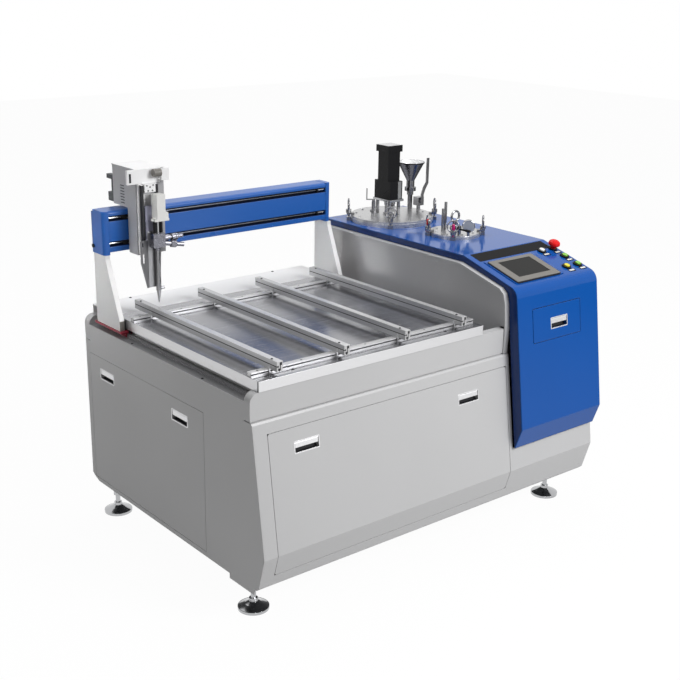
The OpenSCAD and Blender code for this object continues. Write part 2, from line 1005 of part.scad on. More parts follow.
// stirrer drive on stand-offs: plate, gearbox, motor and its cap
module stirrer_motor() {
    color([0.1, 0.1, 0.11])
    rest()
        translate([stirrer_at[0], stirrer_at[1], 0]) {
            for (x = [-22, 22], y = [-33, 33])
                rod([x, y, deck + 21], 12, 51);
            difference() {
                union() {
                    box([-32, -47, 962], [34, 47, 970]);
                    box([-29, -44, 970], [29, 44, 1036]);
                }
                rod([0, 0, 950], 30, 50);
            }
            box([-28, -28, 1036], [28, 28, 1142]);
            box([-34, -34, 1142], [34, 34, 1166]);
        }
}
module stirrer() {
    color([0.75, 0.76, 0.78])
    rest()
        translate([stirrer_at[0], stirrer_at[1], 0]) {
            rod([0, 0, 640], 16, 345);
            rod([0, 0, 945], 28, 14);
            for (a = [0, 90])
                rotate([0, 0, a])
                    box([-80, -2, 640], [80, 2, 685]);
        }
}
// filling funnel: spun cone with a turned rim, on its neck
module funnel() {
    color([0.8, 0.81, 0.83])
    rest()
        translate([funnel_at[0], funnel_at[1], 0])
            difference() {
                union() {
                    translate([0, 0, 1019])
                        cylinder(d1 = 30, d2 = 98, h = 66);
                    rod([0, 0, 1085], 101, 4);
                }
                rod([0, 0, 1010], 24, 20);
                translate([0, 0, 1022])
                    cylinder(d1 = 24, d2 = 95, h = 67.1);
            }
}
module funnel_neck() {
    translate([funnel_at[0], funnel_at[1], 0])
        difference() {
            union() {
                rod([0, 0, deck + 15], 17.8, 60);
                rod([0, 0, 965], 24, 15);
                rod([0, 0, 980], 42, 14);
                rod([0, 0, 994], 30, 25);
            }
            rod([0, 0, 880], 12, 150);
        }
}

// ring of round bar about z
module ring(d, w) {
    rotate_extrude()
        translate([d/2 - w/2, 0])
            circle(d = w, $fn = 16);
}
// swing-bolt clamp at a lid's rim
module clamp(c, r, a, z) {
    rotate_about(c, a) {
        box([r + 0.5, -9, deck], [r + 14, 9, deck + 12]);
        rod([r + 7, 0, deck + 12], 8, 42);
        box([r - 14, -8, z], [r + 14, 8, z + 6]);
        rod([r + 7, 0, z + 6], 20, 12);
        translate([r + 7, 0, z + 30])
            rotate([0, 90, 0])
                ring(26, 6);
    }
}
// clamps, vents, tubes, rings and gauge on the two lids
module lid_fittings() {
    color([0.78, 0.79, 0.81])
    rest() {
        for (a = [146, -34, 227, 47])
            clamp(bc, big_d/2, a, deck + 22);
        for (a = [152, -41, 222])
            clamp(sc, small_d/2, a, deck + 14);
        funnel_neck();
        // ball valve on the large lid
        rod([1308, 762, deck + 21], 14, 20);
        box([1294, 748, 931], [1322, 776, 962]);
        // small valve stack
        rod([1097, 776, deck + 21], 16, 16);
        rod([1097, 776, 927], 26, 8);
        rod([1097, 776, 935], 14, 30);
        // tubes on the small lid
        rod([1155, 473, deck + 13], 8, 80);
        rod([1175, 480, deck + 13], 10, 100);
        // pressure gauge facing the operator
        rod([1176, 366, deck + 13], 10, 16);
        translate([1176, 366, 938])
            rotate([90, 0, -38]) {
                cylinder(d = 42, h = 16, center = true);
                rod([0, 0, 8], 38, 2);
            }
        // body of the vent valve
        rod([1158, 392, deck + 13], 12, 33);
    }
}
// eye that lifts the small lid
module lifting_eye() {
    color([0.78, 0.79, 0.81])
    rest() {
        rod([sc[0], sc[1], deck + 13], 18, 32);
        translate([sc[0], sc[1], 955])
            rotate([90, 0, 0])
                ring(44, 8);
    }
}
// long bent handle of the ball valve
module valve_lever() {
    color([0.8, 0.8, 0.82])
    rest() {
        rody([1308, 741, 948], 16, 6.6);
        translate([0, 745, 0])
            rotate([90, 0, 0])
                linear_extrude(4)
                    polygon([[1301, 948], [1315, 948], [1314, 972], [1322, 992], [1336, 1014], [1337, 1108],
                        [1326, 1108], [1325, 1018], [1311, 998], [1302, 975]]);
    }
}
module drain_lever() {
    color([0.8, 0.8, 0.82])
    rest() {
        rod([1097, 776, 965.5], 12, 6);
        translate([1097, 776, 0])
            rotate([0, 0, 141]) {
                box([-5, -3, 971.5], [27, 3, 975]);
                box([23, -3, 975], [27, 3, 1014]);
            }
    }
}
module vent_lever() {
    color([0.15, 0.15, 0.16])
    rest() {
        rodx([1144, 392, 928], 9, 7.6);
        box([1144, 340, 925], [1147, 392, 931]);
        rody([1147, 330, 928], 9, 20);
    }
}

base_frame();
levelling_feet();
front_shell();
top_walls();
left_shell();
rear_right_panels();
channel_floor();
guide_rails();
table_plate();
rear_plate();
cross_rails();
t_rail_1();
t_rail_2();
t_rail_3();
t_rail_4();
inner_panel();
cabinet_rim();
blue_cover();
cover_flanges();
screen_frame();
screen_glass();
switch_bezels();
white_button();
yellow_button();
green_button_1();
green_button_2();
stop_button();
front_panel();
side_panel();
hatch();
front_paddle_1();
front_paddle_2();
side_paddle_1();
side_paddle_2();
hatch_paddle();
gantry_legs();
foot_plates();
beam();
end_caps();
guide_rods();
housing();
cable_bracket();
z_frame();
z_motor();
z_coupling();
z_slider();
actuator();
valve_block();
guard();
nozzle();
tanks();
tank_lids();
stirrer_motor();
stirrer();
funnel();
lid_fittings();
lifting_eye();
valve_lever();
drain_lever();
vent_lever();
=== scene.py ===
import json
import math

import bmesh
import bpy
from mathutils import Matrix, Vector


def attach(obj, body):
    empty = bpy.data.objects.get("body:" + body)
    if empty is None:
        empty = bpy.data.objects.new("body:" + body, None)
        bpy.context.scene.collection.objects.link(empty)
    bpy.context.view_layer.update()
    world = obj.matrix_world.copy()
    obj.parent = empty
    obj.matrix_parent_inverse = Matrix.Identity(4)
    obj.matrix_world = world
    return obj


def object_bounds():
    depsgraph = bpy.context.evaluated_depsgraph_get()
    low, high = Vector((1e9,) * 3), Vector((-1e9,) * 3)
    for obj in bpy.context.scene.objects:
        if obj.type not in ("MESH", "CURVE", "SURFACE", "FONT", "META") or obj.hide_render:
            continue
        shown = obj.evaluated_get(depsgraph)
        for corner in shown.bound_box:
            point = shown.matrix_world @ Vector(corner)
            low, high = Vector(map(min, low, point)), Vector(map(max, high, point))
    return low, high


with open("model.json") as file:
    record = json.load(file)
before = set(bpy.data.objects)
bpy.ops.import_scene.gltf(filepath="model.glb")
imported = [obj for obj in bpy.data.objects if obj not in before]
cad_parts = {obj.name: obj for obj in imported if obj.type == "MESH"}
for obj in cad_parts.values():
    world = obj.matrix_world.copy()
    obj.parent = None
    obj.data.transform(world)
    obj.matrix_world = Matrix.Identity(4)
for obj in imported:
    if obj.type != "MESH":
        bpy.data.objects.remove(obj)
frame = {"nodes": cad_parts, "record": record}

# Glue dispensing machine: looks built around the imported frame.
# Places are in the drawing's millimetres: x from the left side face, y from the front wall, z from the floor.

NODES = frame["nodes"]
CAD_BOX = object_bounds()
MM = 0.001

# How far the knee of the leaning front stands out before the front wall, in metres
KNEE = 0.088
LEFT, FRONT = CAD_BOX[0][0], CAD_BOX[0][1] + KNEE

# Tank cabinet: deck height, slanted panel's upper edge (y, z) and fall, lids as x, y and radius
DECK = 890.0
SLOPE_TOP, SLOPE_DEG = (211.0, 890.0), 15.66
BIG_LID = (1178.0, 766.0, 153.0)
SMALL_LID = (1195.0, 451.0, 91.0)
FUNNEL = (1302, 803)
DRIVE = (1172, 781)
SWITCHES = ((1310, 66), (1366, 66), (1366, 122), (1310, 182), (1366, 182))
STOP_SWITCH = 1

# Leaning fronts: y and z of a point on them, and the slope
PANEL_FRONT = (-9, 605, 0.141)
COVER_FRONT = (-31.5, 796.8, 0.1343)
PANEL_LATCH, HATCH_LATCH = (84, 31), (76, 32)

# Table: left faces of the work rails and their underside, front faces of the cross rails
RAIL_X, RAIL_Z = (93.5, 329.5, 561.5, 795.6), 737.3
# Hollows of the work rails as x and z of two corners, filled black as painted shade
RAIL_CAVITIES = ((0.4, 11.7, 6.2, 17.3), (9.8, 17.5, 17.2, 25.9), (10.8, 8.6, 13.2, 17.5),
                 (4.3, 2.8, 13.2, 8.6), (6.6, 0.3, 11.0, 2.8))
CROSS_RAIL_Y = (38, 668)

# Gantry: guide rods, slot length, and how far the head stands from its own drawing
ROD_Y, ROD_Z = 799.0, (950.0, 1030.5)
SLOT_X = (26.3, 882.7)
HEAD = (9, 15, -4)

# Camera of the photo: place, yaw, pitch and roll in degrees, focal length and frame width in pixels
CAMERA_AT = (-1663.2, -2399.1, 1794.3)
CAMERA_DEG = (39.43, 17.95, 0.83)
FOCAL_PX, FRAME_PX = 1165.6, 680
SENSOR = 36.0

SHARP_DEG = 40


def in_frame(x, y, z):
    """Drawing millimetres to the frame's metres."""
    return Vector((LEFT + x * MM, FRONT + y * MM, z * MM))


def place(x, y, z, rx=0.0, ry=0.0, rz=0.0):
    """Matrix of a local frame at a drawing point, turned in degrees."""
    turn = Matrix.Rotation(math.radians(rz), 4, "Z") @ Matrix.Rotation(math.radians(ry), 4, "Y")
    return Matrix.Translation(in_frame(x, y, z)) @ turn @ Matrix.Rotation(math.radians(rx), 4, "X")


def on_head(x=0, y=0, z=0, **turn):
    """Frame in the head's own drawing."""
    return place(x + HEAD[0], y + HEAD[1], z + HEAD[2], **turn)


def on_slope(x, s):
    """Frame on the slanted panel, s below its upper edge: local y up the slope, z out of it."""
    return place(x, *SLOPE_TOP, rx=SLOPE_DEG) @ Matrix.Translation((0, -s * MM, 0))


def on_lean(face, x, z):
    """Frame on a leaning front: local y into it, z up it."""
    y0, z0, slope = face
    return place(x, y0 - (z0 - z) * slope, z, rx=-math.degrees(math.atan(slope)))


def on_lid(x, y, z, turn):
    """Upright ring's frame: its axis level, turned in degrees about z."""
    return place(x, y, z, rx=90, rz=turn - 90)


# Shader nodes

def add_node(nodes, kind, **values):
    """Shader node with values for its sockets, whose names are written with underscores."""
    made = nodes.new("ShaderNode" + kind)
    for name, value in values.items():
        made.inputs[name.replace("_", " ")].default_value = value
    return made


def math_node(nodes, links, operation, *terms):
    """Math node over numbers and other nodes' outputs."""
    made = nodes.new("ShaderNodeMath")
    made.operation = operation
    for socket, term in zip(made.inputs, terms):
        if isinstance(term, float):
            socket.default_value = term
        else:
            links.new(term, socket)
    return made.outputs[0]


def mix_shaders(nodes, links, factor, first, second):
    made = nodes.new("ShaderNodeMixShader")
    for socket, source in zip(made.inputs, (factor, first, second)):
        links.new(source, socket)
    return made.outputs[0]


def noise(nodes, links, scale, detail=2.0, stretch=(1, 1, 1)):
    coord = add_node(nodes, "TexCoord")
    mapping = add_node(nodes, "Mapping", Scale=stretch)
    tex = add_node(nodes, "TexNoise", Scale=scale, Detail=detail)
    links.new(coord.outputs["Object"], mapping.inputs["Vector"])
    links.new(mapping.outputs["Vector"], tex.inputs["Vector"])
    return tex.outputs["Fac"]


def spread(nodes, links, source, low, high):
    """Maps a 0..1 factor around its middle to low..high."""
    made = add_node(nodes, "MapRange", From_Min=0.3, From_Max=0.7, To_Min=low, To_Max=high)
    links.new(source, made.inputs["Value"])
    return made.outputs["Result"]


def tint(nodes, links, shader, factor, color, swing):
    """Base colour that drifts a little, by factor."""
    mix = nodes.new("ShaderNodeMix")
    mix.data_type = "RGBA"
    mix.inputs["A"].default_value = [max(0.0, c * (1 - swing)) for c in color] + [1]
    mix.inputs["B"].default_value = [min(1.0, c * (1 + swing)) for c in color] + [1]
    links.new(factor, mix.inputs["Factor"])
    links.new(mix.outputs["Result"], shader.inputs["Base Color"])


def relief(nodes, links, shader, height, strength, distance, edge):
    """Fine bump, over a soft highlight along sharp edges where edge is a radius."""
    bump = add_node(nodes, "Bump", Strength=strength, Distance=distance)
    links.new(height, bump.inputs["Height"])
    if edge:
        bevel = add_node(nodes, "Bevel", Radius=edge)
        bevel.samples = 6
        links.new(bevel.outputs["Normal"], bump.inputs["Normal"])
    links.new(bump.outputs["Normal"], shader.inputs["Normal"])


# Materials

MATS = {}


def material(name):
    mat = MATS[name] = bpy.data.materials.new(name)
    mat.use_nodes = True
    nodes, links = mat.node_tree.nodes, mat.node_tree.links
    nodes.clear()
    out = nodes.new("ShaderNodeOutputMaterial")
    shader = nodes.new("ShaderNodeBsdfPrincipled")
    links.new(shader.outputs["BSDF"], out.inputs["Surface"])
    return nodes, links, shader


def paint(name, color, rough=0.35, coat=0.25, peel=0.05, edge=0.0012, shine=0.5):
    nodes, links, shader = material(name)
    large = noise(nodes, links, 3.0, 3.0)
    tint(nodes, links, shader, large, color, 0.03)
    relief(nodes, links, shader, noise(nodes, links, 420.0), peel, 0.0006, edge)
    links.new(spread(nodes, links, large, rough * 0.9, rough * 1.15), shader.inputs["Roughness"])
    shader.inputs["Specular IOR Level"].default_value = shine
    shader.inputs["Coat Weight"].default_value = coat
    shader.inputs["Coat Roughness"].default_value = 0.12


def metal(name, color, rough=0.25, grain=(1, 1, 1), scale=300.0, depth=0.08):
    nodes, links, shader = material(name)
    shader.inputs["Metallic"].default_value = 1.0
    brush = noise(nodes, links, scale, 3.0, grain)
    tint(nodes, links, shader, brush, color, 0.05)
    links.new(spread(nodes, links, brush, rough * 0.8, rough * 1.3), shader.inputs["Roughness"])
    relief(nodes, links, shader, brush, depth, 0.0003, 0.0006)


def plastic(name, color, rough=0.4, grain=0.06, coat=0.0, edge=0.0006, shine=0.5):
    nodes, links, shader = material(name)
    fine = noise(nodes, links, 900.0)
    tint(nodes, links, shader, fine, color, 0.04)
    links.new(spread(nodes, links, fine, rough * 0.9, rough * 1.1), shader.inputs["Roughness"])
    relief(nodes, links, shader, fine, grain, 0.0004, edge)
    shader.inputs["Coat Weight"].default_value = coat
    shader.inputs["Specular IOR Level"].default_value = shine


def make_materials():
    paint("grey_paint", (0.53, 0.53, 0.535), 0.4, 0.05)
    paint("channel_paint", (0.27, 0.27, 0.28), 0.45, 0.0)
    paint("white_paint", (0.84, 0.84, 0.84), 0.4, 0.05)
    paint("leg_paint", (0.74, 0.74, 0.74), 0.4, 0.0)
    paint("housing_paint", (0.36, 0.36, 0.37), 0.4, 0.0)
    paint("plate_paint", (0.84, 0.84, 0.845), 0.4, 0.0)
    # Paler copy of the blue paint for the beam and end caps: painted sheen
    paint("sheen_blue_paint", (0.01, 0.1, 0.4), 0.28, 0.0, 0.03, 0.003)
    paint("dark_panel", (0.52, 0.52, 0.525), 0.3, 0.0, 0.02)
    paint("blue_paint", (0.003, 0.082, 0.365), 0.12, 0.0, 0.015, 0.004, shine=0.2)
    # Darker copy of the blue paint for the cover's side flanges: painted shade
    paint("shaded_blue_paint", (0.006, 0.03, 0.14), 0.25, 0.0, 0.03, 0.003, shine=0.3)
    paint("frame_paint", (0.05, 0.055, 0.06), 0.5, 0.0, 0.1)
    paint("red_paint", (0.28, 0.015, 0.035), 0.45, 0.0)
    paint("black_paint", (0.004, 0.004, 0.005), 0.28, 0.0, shine=0.22)
    metal("stainless", (0.52, 0.525, 0.54), 0.28, (1, 1, 1), 240.0, 0.03)
    metal("lid_steel", (0.5, 0.5, 0.505), 0.3, (1, 1, 1), 240.0, 0.02)
    metal("plate_steel", (0.33, 0.333, 0.35), 0.22, (0.02, 1, 1), 500.0, 0.04)
    # Bright steel of the paddles and latch frames; as a lighter copy of the table sheet on its apron and of the
    # funnel steel on its inside it is painted light
    metal("bright_steel_and_lit_copy", (0.72, 0.72, 0.73), 0.4, (1, 1, 1), 300.0, 0.03)
    metal("fitting_steel", (0.2, 0.2, 0.225), 0.25, (1, 1, 1), 40.0, 0.01)
    metal("chrome", (0.45, 0.455, 0.465), 0.14, (1, 1, 1), 60.0, 0.02)
    # Dark copy of the guide rods' steel: painted shade in the slots; their ends get chrome as painted highlight
    metal("shaded_rod_steel", (0.08, 0.085, 0.1), 0.25, (0.02, 1, 1), 300.0, 0.02)
    metal("aluminium", (0.56, 0.56, 0.565), 0.38, (1, 0.03, 1), 700.0, 0.06)
    metal("guard_steel", (0.31, 0.31, 0.32), 0.45, (1, 1, 0.05), 300.0, 0.02)
    metal("dark_steel", (0.27, 0.27, 0.28), 0.16, (1, 1, 1), 60.0, 0.01)
    plastic("black_plastic", (0.008, 0.008, 0.009), 0.5, shine=0.15)
    plastic("band_black", (0.006, 0.006, 0.0065), 0.6, 0.0, shine=0.1)
    plastic("ivory_plastic", (0.72, 0.72, 0.7), 0.45)
    plastic("slider_paint", (0.27, 0.27, 0.35), 0.5, shine=0.3)
    plastic("white_plastic", (0.82, 0.82, 0.8), 0.3, 0.03, 0.3)
    plastic("yellow_plastic", (0.8, 0.7, 0.01), 0.3, 0.03, 0.2)
    plastic("green_plastic", (0.2, 0.52, 0.015), 0.3, 0.03, 0.2)
    plastic("red_plastic", (0.72, 0.003, 0.005), 0.45, 0.03, 0.0, shine=0.25)
    plastic("magenta_plastic", (0.55, 0.005, 0.13), 0.35, 0.03, 0.2)
    plastic("bezel_grey", (0.17, 0.16, 0.145), 0.4)
    plastic("screen", (0.02, 0.02, 0.019), 0.35, 0.0, 0.0, shine=0.06)
    # Black of the carriage's rail faces; put in slots, grooves, hollows, recesses, the louvre and round the
    # screen's bezel it is painted shade
    plastic("black_and_slot_shade", (0.004, 0.004, 0.007), 0.6, 0.04, 0.0, 0.0)
    # Navy put in the beam's slots: painted shade
    plastic("slot_shade_navy", (0.004, 0.014, 0.06), 0.5, 0.02, 0.0, 0.0)
    plastic("dial_face", (0.3, 0.32, 0.36), 0.25, 0.02, 0.6)


# Nodes with another look than their slot's own
NODES_OF_LOOK = {
    "channel_paint": ("channel_floor", "guide_rails"),
    "housing_paint": ("housing",),
    "plate_paint": ("z_frame",),
    "leg_paint": ("gantry_legs",),
    # cover flanges: darker copy of the blue as painted shade
    "shaded_blue_paint": ("cover_flanges",),
    "blue_paint": ("screen_frame",),
    # beam and end caps: paler blue as painted sheen
    "sheen_blue_paint": ("beam", "end_caps"),
    "frame_paint": ("cable_bracket",),
    "slider_paint": ("z_slider",),
    "bezel_grey": ("z_coupling",),
    "plate_steel": ("table_plate",),
    "lid_steel": ("tank_lids",),
    "guard_steel": ("guard",),
    # guide rods: dark steel as painted shade
    "shaded_rod_steel": ("guide_rods",),
    "fitting_steel": ("valve_block", "funnel"),
    "dark_steel": ("nozzle", "valve_lever", "drain_lever", "lid_fittings", "lifting_eye"),
    "bright_steel_and_lit_copy": ("front_paddle_1", "front_paddle_2", "side_paddle_1", "side_paddle_2", "hatch_paddle"),
}
FINISH = {s["node"]: s["material_slot"] for s in frame["record"]["subparts"]}
FINISH.update({node: look for look, nodes in NODES_OF_LOOK.items() for node in nodes})


def dress_frame():
    for name, obj in NODES.items():
        obj.data.materials.clear()
        obj.data.materials.append(MATS[FINISH[name]])


# Meshes; lengths in local millimetres

def add_box(bm, a, b):
    """Box between two corners."""
    made = bmesh.ops.create_cube(bm, size=1.0)["verts"]
    for v in made:
        v.co = Vector([(a[i] + (v.co[i] + 0.5) * (b[i] - a[i])) * MM for i in range(3)])
    return made


def add_lathe(bm, profile, steps=40, centre=(0, 0)):
    """Solid of revolution about local z from (radius, height) points."""
    rings = []
    for radius, height in profile:
        if radius < 1e-6:
            rings.append([bm.verts.new((centre[0] * MM, centre[1] * MM, height * MM))])
            continue
        ring = []
        for k in range(steps):
            a = 2 * math.pi * k / steps
            ring.append(bm.verts.new(((centre[0] + radius * math.cos(a)) * MM,
                                      (centre[1] + radius * math.sin(a)) * MM, height * MM)))
        rings.append(ring)
    for low, high in zip(rings, rings[1:]):
        for k in range(steps):
            n = (k + 1) % steps
            if len(low) == 1 and len(high) == 1:
                continue
            if len(low) == 1:
                bm.faces.new((low[0], high[n], high[k]))
            elif len(high) == 1:
                bm.faces.new((low[k], low[n], high[0]))
            else:
                bm.faces.new((low[k], low[n], high[n], high[k]))
    for ring, flip in ((rings[0], True), (rings[-1], False)):
        if len(ring) > 1:
            bm.faces.new(ring[::-1] if flip else ring)


def add_hex(bm, across, z0, z1, centre=(0, 0)):
    add_lathe(bm, [(across / 1.732, z0), (across / 1.732, z1)], 6, centre)


def add_plate(bm, outline, z0, z1, hole=None):
    """Plate from an outline in local xy, with an optional hole of as many points."""
    def ring(points, z):
        return [bm.verts.new((x * MM, y * MM, z * MM)) for x, y in points]
    a, b = ring(outline, z0), ring(outline, z1)
    n = len(outline)
    for k in range(n):
        bm.faces.new((a[k], a[(k + 1) % n], b[(k + 1) % n], b[k]))
    if hole is None:
        bm.faces.new(a[::-1])
        bm.faces.new(b)
        return
    c, d = ring(hole, z0), ring(hole, z1)
    for k in range(n):
        m = (k + 1) % n
        bm.faces.new((c[m], c[k], d[k], d[m]))
        bm.faces.new((b[k], b[m], d[m], d[k]))
        bm.faces.new((a[m], a[k], c[k], c[m]))


def add_torus(bm, radius, wire, matrix, steps=36, sides=10):
    """Ring of round bar about local z."""
    rings = []
    for k in range(steps):
        a = math.radians(360 * k / steps)
        ring = []
        for j in range(sides):
            b = 2 * math.pi * j / sides
            r = radius + wire * math.cos(b)
            ring.append(bm.verts.new(matrix @ Vector((r * math.cos(a) * MM, r * math.sin(a) * MM,
                                                      wire * math.sin(b) * MM))))
        rings.append(ring)
    for low, high in list(zip(rings, rings[1:])) + [(rings[-1], rings[0])]:
        for j in range(sides):
            m = (j + 1) % sides
            bm.faces.new((low[j], low[m], high[m], high[j]))


def rounded(w, h, r, steps=5):
    """Outline of a rounded rectangle, counter-clockwise."""
    points = []
    for cx, cy, start in ((w / 2 - r, h / 2 - r, 0), (-w / 2 + r, h / 2 - r, 90),
                          (-w / 2 + r, -h / 2 + r, 180), (w / 2 - r, -h / 2 + r, 270)):
        for k in range(steps + 1):
            a = math.radians(start + 90 * k / steps)
            points.append((cx + r * math.cos(a), cy + r * math.sin(a)))
    return points


def circle(radius, steps=48):
    turns = [math.radians(360 * k / steps) for k in range(steps)]
    return [(radius * math.cos(a), radius * math.sin(a)) for a in turns]


def round_bar(radius, length, steps=28, chamfer=0.4):
    """Mesh of a round bar with chamfered ends, standing on local z."""
    bm = bmesh.new()
    c = min(chamfer, radius * 0.3, length * 0.3)
    add_lathe(bm, [(radius - c, 0), (radius, c), (radius, length - c), (radius - c, length)], steps)
    return bm


def socket_screw(radius, height):
    """Mesh of a round screw head with a socket, standing on local z."""
    bm = bmesh.new()
    add_lathe(bm, [(radius, 0), (radius, height - 0.6), (radius - 0.6, height), (radius * 0.5, height),
                   (radius * 0.45, height - 1.4), (0, height - 1.5)], 24)
    return bm


# Pieces; matrix is their local frame, by default the drawing's own

def piece(name, bm, mat, body, matrix=None, bevel=0.0):
    mesh = bpy.data.meshes.new(name)
    if matrix is not None:
        bm.transform(matrix)
    bmesh.ops.recalc_face_normals(bm, faces=bm.faces)
    bm.to_mesh(mesh)
    bm.free()
    obj = bpy.data.objects.new(name, mesh)
    bpy.context.scene.collection.objects.link(obj)
    mesh.materials.append(MATS[mat])
    mesh.shade_smooth()
    mesh.set_sharp_from_angle(angle=math.radians(SHARP_DEG))
    if bevel:
        mod = obj.modifiers.new("edges", "BEVEL")
        mod.width = bevel * MM
        mod.segments = 2
        mod.limit_method = "ANGLE"
        mod.angle_limit = math.radians(SHARP_DEG)
    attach(obj, body)
    return obj


def boxes(name, mat, body, corners, matrix=None, bevel=0.0):
    """One piece from boxes, each given by two corners."""
    bm = bmesh.new()
    for a, b in corners:
        add_box(bm, a, b)
    piece(name, bm, mat, body, place(0, 0, 0) if matrix is None else matrix, bevel)


def plate(name, mat, body, matrix, outline, z0, z1, hole=None, bevel=0.0):
    bm = bmesh.new()
    add_plate(bm, outline, z0, z1, hole)
    piece(name, bm, mat, body, matrix, bevel)


def turned(name, mat, body, matrix, profiles, steps=40):
    bm = bmesh.new()
    for profile in profiles:
        add_lathe(bm, profile, steps)
    piece(name, bm, mat, body, matrix)


def merged(name, mat, body, parts, bevel=0.0):
    """One piece from several small meshes, each with its own matrix."""
    bm = bmesh.new()
    for part, matrix in parts:
        part.transform(matrix)
        scratch = bpy.data.meshes.new("scratch")
        part.to_mesh(scratch)
        part.free()
        bm.from_mesh(scratch)
        bpy.data.meshes.remove(scratch)
    piece(name, bm, mat, body, None, bevel)


def screws(name, mat, body, points, radius, height, frame_at=place):
    merged(name, mat, body, [(socket_screw(radius, height), frame_at(*p)) for p in points])


# Details, body by body

def latch_trim(tag, matrix, body, size):
    """Bright frame round a flush latch, and black in its finger recess as painted shade."""
    w, h = size
    plate(f"latch_frame_{tag}", "bright_steel_and_lit_copy", body, matrix @ Matrix.Rotation(math.radians(90), 4, "X"),
          rounded(w + 6, h + 6, 3), -0.2, 0.4, rounded(w - 0.5, h - 0.5, 1.5), bevel=0.3)
    # Black in the finger recess: painted shade
    boxes(f"latch_recess_shade_{tag}", "black_and_slot_shade", body, [
        ((-w / 2 + 0.4, 14.6, -h / 2 + 0.4), (w / 2 - 0.4, 15.8, h / 2 - 0.4)),
        ((-w / 2 + 0.3, 3, -h / 2 + 0.1), (w / 2 - 0.3, 15.6, -h / 2 + 0.9))], matrix)


def cabinet_details():
    for tag, x, z in (("front_1", 178, 513), ("front_2", 814, 508)):
        latch_trim(tag, on_lean(PANEL_FRONT, x, z), "front_panel", PANEL_LATCH)
    for tag, y, z in (("side_1", 800, 515), ("side_2", 362, 513)):
        latch_trim(tag, place(0, y, z, rz=-90), "side_panel", PANEL_LATCH)
    latch_trim("hatch", on_lean(COVER_FRONT, 1185, 696) @ Matrix.Translation((0.010, 0, -0.004)),
               "hatch", HATCH_LATCH)


def table_details():
    """Apron faces in lighter steel than the table top as painted light, a white sheet in the shadow under the
    table's edge as painted fill light, black in the grooves and hollows as painted shade, and the screws of table
    and rails.
    """
    # Lighter steel on the apron's front and left faces than on the table top: painted light
    boxes("apron_lit_faces", "bright_steel_and_lit_copy", "base", [
        ((28.9, -2.5, 694.5), (884, -2.05, 724.7)), ((28.5, -2.5, 694.5), (28.95, 772, 724.7))])
    boxes("apron_mitre", "frame_paint", "base", [((28.3, -1.2, 694.6), (28.6, 3.6, 724.2))])
    # White sheet behind the ledge that lightens the shadow under the table's edge: painted light
    boxes("ledge_fill_sheet", "white_paint", "base", [((52, 30, 666.2), (52.6, 872, 690))])
    # Black in the cross rails' top groove and side slot: painted shade
    boxes("cross_rail_groove_shade", "black_and_slot_shade", "base", [
        ((33.2, y + y0, z0), (879.8, y + y1, z1)) for y in CROSS_RAIL_Y
        for y0, z0, y1, z1 in ((16.5, 735.5, 18.3, 736.6), (1.0, 729.2, 3.9, 732.8))])
    for tag, points, radius, height in (
            ("rear_plate", [(x, 921, 725) for x in (163, 745)], 4.5, 1.6),
            ("table", [(x, 25, 725) for x in (163, 747)], 4.5, 1.6),
            ("ledge", [(11.5, y, 666) for y in (648, 250)], 4, 1.2),
            ("cross_rail", [(x, y + 11, 737) for x in (60, 210, 445, 680, 860) for y in CROSS_RAIL_Y], 3.2, 0.2)):
        screws(f"{tag}_screws", "black_plastic", "base", points, radius, height)
    for k, x in enumerate(RAIL_X, 1):
        body = f"t_rail_{k}"
        screws(f"rail_{k}_screws", "black_plastic", body, [(x + 5, y, 766) for y in (34, 738)], 3.4, 1.8)
        # Black in the rail's hollows: painted shade
        boxes(f"rail_{k}_hollow_shade", "black_and_slot_shade", body, [
            ((x + x0, 4.6, RAIL_Z + z0), (x + x1, 767.2, RAIL_Z + z1)) for x0, z0, x1, z1 in RAIL_CAVITIES])
        screws(f"rail_{k}_side_screws", "stainless", body, [(x - 3, y, 744) for y in (36, 666)], 2.6, 1.2,
               lambda *p: place(*p, ry=-90))


